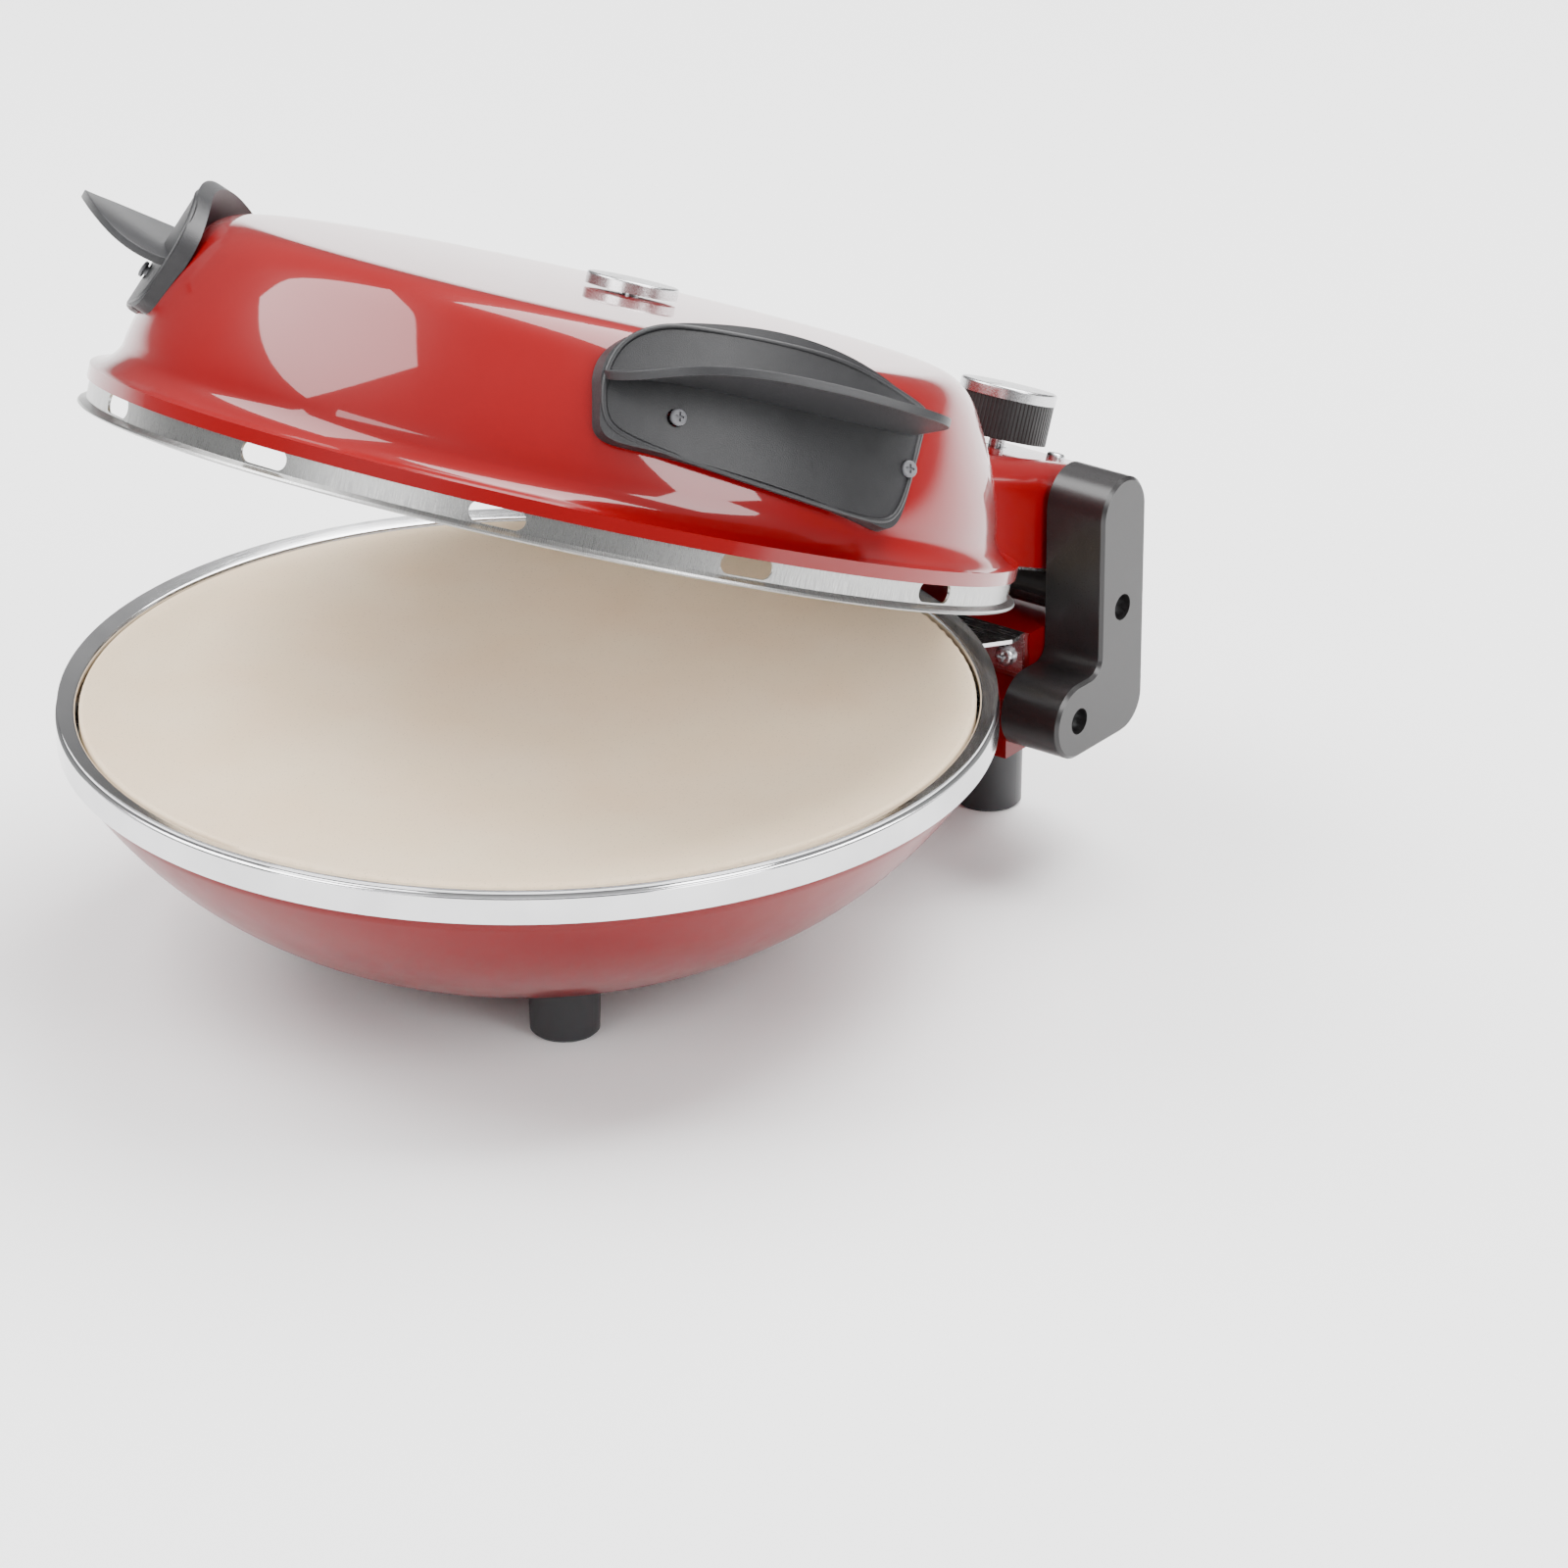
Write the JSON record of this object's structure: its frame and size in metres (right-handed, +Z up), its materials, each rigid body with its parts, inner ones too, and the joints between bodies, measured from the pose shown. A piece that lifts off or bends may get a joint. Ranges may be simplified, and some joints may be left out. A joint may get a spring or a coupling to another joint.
{
  "type": "countertop pizza oven",
  "caption": "Round clamshell countertop pizza oven: stone floor in a steel bowl, hinged domed lid with side grips, thermostat and timer knobs.",
  "frame": {"origin": "on the counter, under the middle of the oven's overall width and depth, with the lid open as stored", "axes": "+Z up, -Y towards the front (the user), +Y towards the hinge and mains inlet, +X to the oven's left as seen from the front camera side with the thermostat"},
  "size_m": [0.3712, 0.3822, 0.2736],
  "materials": {
    "red_enamel": "gloss enamel, fired red",
    "polished_steel": "polished",
    "brushed_aluminium": "brushed upright",
    "stone": "matte cordierite",
    "zinc_steel": "zinc plated",
    "bright_steel": "bright rolled",
    "reflector_aluminium": "bright",
    "heater_sheath": "heat-dulled sheath",
    "ceramic": "matte",
    "brass": "turned",
    "foot_plastic": "satin",
    "arm_plastic": "satin",
    "dark_gloss": "gloss",
    "screw_plug": "satin",
    "handle_plastic": "fine spark texture",
    "knob_metal": "spun",
    "knob_plastic": "satin, knurled",
    "control_plastic": "heat-proof moulding",
    "gland_rubber": "matte",
    "washer_nylon": "natural"
  },
  "bodies": {
    "base": {"arm_nuts": "zinc_steel", "arm_screws": "zinc_steel", "baking_stone": "stone", "cord_gland": "gland_rubber", "cover_screws": "zinc_steel", "foot_front_left": "foot_plastic", "foot_front_right": "foot_plastic", "foot_rear_left": "foot_plastic", "foot_rear_right": "foot_plastic", "foot_screws": "zinc_steel", "hinge_arm_left": "arm_plastic", "hinge_arm_right": "arm_plastic", "hinge_pin_left": "zinc_steel", "hinge_pin_right": "zinc_steel", "hinge_plate_left": "zinc_steel", "hinge_plate_right": "zinc_steel", "hinge_washers": "washer_nylon", "lower_bowl": "red_enamel", "lower_heater": "heater_sheath", "lower_heater_clips": "zinc_steel", "lower_heater_terminals": "ceramic", "lower_reflector": "reflector_aluminium", "lower_rim_ring": "polished_steel", "rear_base_box": "red_enamel", "rear_base_cover": "red_enamel", "rim_tab_screws": "zinc_steel", "rim_tabs": "bright_steel", "stone_support_ring": "bright_steel", "terminal_block": "control_plastic", "thermal_fuse": "zinc_steel"},
    "lid": {"grip_left": "handle_plastic", "grip_right": "handle_plastic", "handle_left": "handle_plastic", "handle_right": "handle_plastic", "handle_screws_left": "screw_plug", "handle_screws_right": "screw_plug", "hinge_bushes": "brass", "housing_screws": "zinc_steel", "lid_base_plate": "bright_steel", "lid_dome": "red_enamel", "lid_hinge_cover": "dark_gloss", "lid_rear_housing": "red_enamel", "lid_reflector": "reflector_aluminium", "lid_rim_band": "brushed_aluminium", "thermostat_body": "control_plastic", "timer_body": "control_plastic", "upper_heater": "heater_sheath", "upper_heater_clips": "zinc_steel", "upper_heater_terminals": "ceramic"},
    "thermostat_dial": {"thermostat_knob": "knob_plastic", "thermostat_knob_cap": "knob_metal", "thermostat_shaft": "zinc_steel"},
    "timer_dial": {"timer_knob": "knob_plastic", "timer_knob_cap": "knob_metal", "timer_shaft": "zinc_steel"}
  },
  "joints": [
    {"name": "lid_hinge", "type": "hinge", "parent": "base", "child": "lid", "pos_m": [0, 0.1519, 0.096], "axis": [-1, 0, 0], "range_deg": [-21.5, 48.5]},
    {"name": "thermostat_turn", "type": "hinge", "parent": "lid", "child": "thermostat_dial", "pos_m": [0.065, 0.16373, 0.14239], "axis": [0, 0.3665, 0.9304], "range_deg": [-135, 135]},
    {"name": "timer_turn", "type": "hinge", "parent": "lid", "child": "timer_dial", "pos_m": [0, 0.03406, 0.22249], "axis": [0, 0.3665, 0.9304], "range_deg": [0, 300]}
  ]
}
